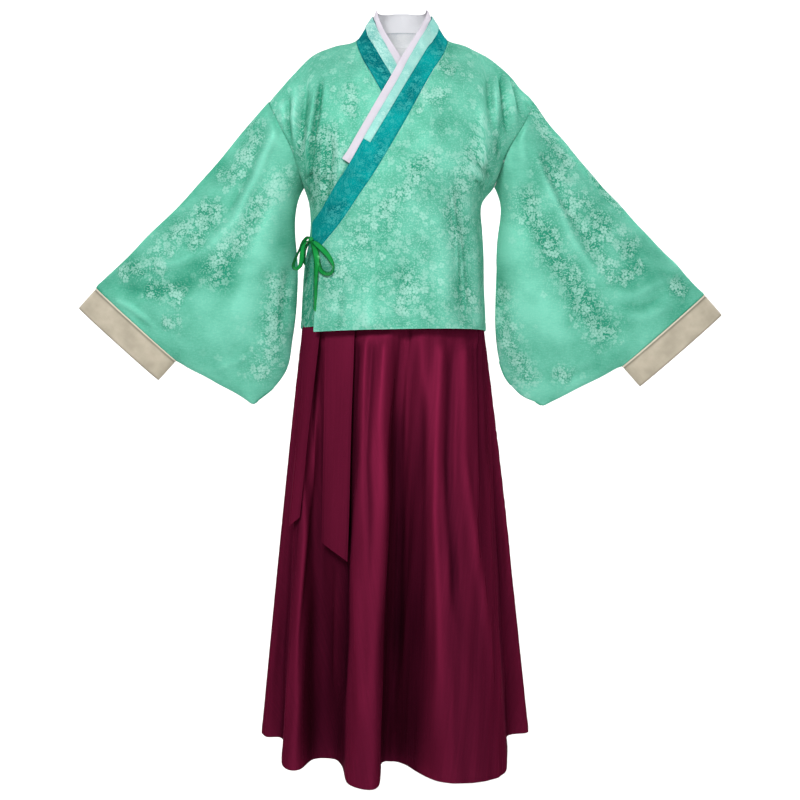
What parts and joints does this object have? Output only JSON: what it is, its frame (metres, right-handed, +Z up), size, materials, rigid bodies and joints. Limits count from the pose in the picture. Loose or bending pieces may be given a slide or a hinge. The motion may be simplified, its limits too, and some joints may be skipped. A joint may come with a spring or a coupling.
{
  "type": "crossover jacket and long skirt",
  "caption": "East Asian two-piece dress: a crossover jacket with wide hanging sleeves, layered collar and side tie, over a full-length pleated skirt.",
  "frame": {"origin": "the middle of the neck, level with the two points where the shoulder seams meet the collar", "axes": "+Z up, -Y the way the garment faces, +X towards the wearer's left"},
  "size_m": [1.1905, 0.508, 1.3702],
  "materials": {
    "jacket": "mint green satin jacquard with a self-toned blossom figure",
    "cuff": "plain beige cotton",
    "collar_wide_band": "teal satin jacquard",
    "collar_middle_strip": "pale aqua satin",
    "collar_edge_strip": "white plain weave",
    "lining": "pale grey figured lining",
    "tie": "green satin ribbon",
    "skirt": "burgundy satin"
  },
  "bodies": {
    "root": {"back": "jacket", "front_over": "jacket", "front_under": "jacket", "sleeve_left_arm": "jacket", "sleeve_right_arm": "jacket", "cuff_left_arm": "cuff", "cuff_right_arm": "cuff", "collar_wide_band": "collar_wide_band", "collar_middle_strip": "collar_middle_strip", "collar_edge_strip": "collar_edge_strip", "back_lining": "lining", "tie_knot": "tie", "tie_loop_outer": "tie", "tie_loop_inner": "tie", "tie_tail_front": "tie", "tie_tail_side": "tie", "skirt_waistband": "skirt", "skirt_front": "skirt", "skirt_back": "skirt", "sash_front_tail": "skirt", "sash_side_tail": "skirt"}
  },
  "joints": []
}
